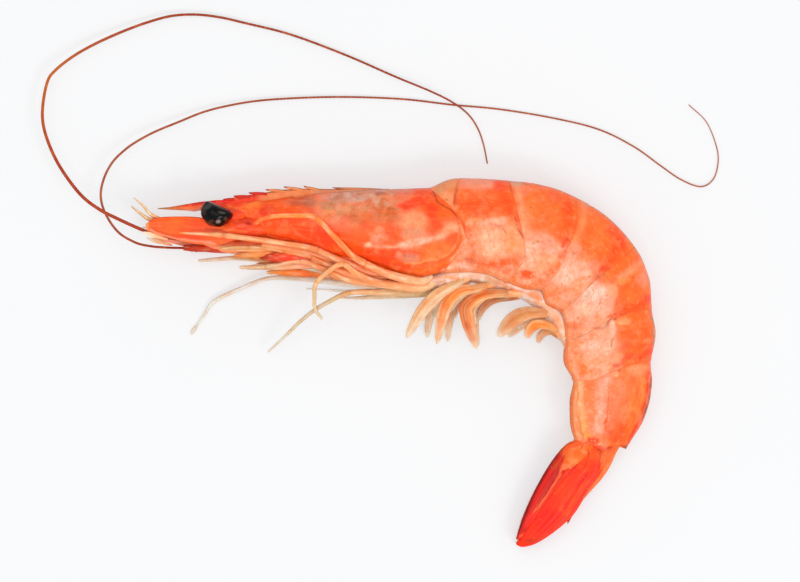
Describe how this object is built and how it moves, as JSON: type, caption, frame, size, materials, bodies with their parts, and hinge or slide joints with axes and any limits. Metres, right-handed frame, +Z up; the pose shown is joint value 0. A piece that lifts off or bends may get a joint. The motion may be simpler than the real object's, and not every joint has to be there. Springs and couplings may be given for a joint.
{
  "type": "whole cooked shrimp",
  "caption": "Whole cooked shrimp lying on its side, head and shell on: curved ringed tail with a shut fan, toothed beak, black eyes, long looping whiskers, legs and swimmerets.",
  "frame": {"origin": "under the middle of the outline's box, on the surface that the shrimp lies on", "axes": "+X runs from the whiskers' loop past the head to the curve of the tail, +Y from the legs to the back, +Z up, out of the left side"},
  "size_m": [0.1496, 0.1177, 0.0168],
  "materials": {
    "head_shell": "cooked head shell, orange red, thin and a little see-through, with a wet sheen",
    "tail_shell": "cooked tail shell, orange bands with pale patches, with a wet sheen",
    "tail_fan": "cooked tail blades, deep red",
    "eye": "smooth black eye",
    "limb": "thin pale limbs, flushed orange",
    "swimmeret": "soft pale blades with a fringe of bristles",
    "whisker": "thin brownish-red whiskers"
  },
  "bodies": {
    "root": {"carapace": "head_shell", "segment_1": "tail_shell", "segment_2": "tail_shell", "segment_3": "tail_shell", "segment_4": "tail_shell", "segment_5": "tail_shell", "segment_6": "tail_shell", "telson": "tail_fan", "uropod_inner_left": "tail_fan", "uropod_inner_right": "tail_fan", "uropod_outer_left": "tail_fan", "uropod_outer_right": "tail_fan", "eye_left": "eye", "eye_right": "eye", "eye_stalk_left": "limb", "eye_stalk_right": "limb", "antennal_scale_left": "head_shell", "antennal_scale_right": "head_shell", "antennule_left": "limb", "antennule_right": "limb", "antenna_base_left": "head_shell", "antenna_base_right": "head_shell", "antenna_left": "whisker", "antenna_right": "whisker", "mouthparts": "head_shell", "maxilliped_left": "limb", "maxilliped_right": "limb", "leg_1_left": "limb", "leg_1_right": "limb", "leg_2_left": "limb", "leg_2_right": "limb", "leg_3_left": "limb", "leg_3_right": "limb", "leg_4_left": "limb", "leg_4_right": "limb", "leg_5_left": "limb", "leg_5_right": "limb", "swimmeret_1_left": "swimmeret", "swimmeret_2_left": "swimmeret", "swimmeret_3_left": "swimmeret", "swimmeret_4_left": "swimmeret", "swimmeret_5_left": "swimmeret", "swimmeret_1_right": "swimmeret", "swimmeret_2_right": "swimmeret", "swimmeret_3_right": "swimmeret", "swimmeret_4_right": "swimmeret", "swimmeret_5_right": "swimmeret"}
  },
  "joints": []
}
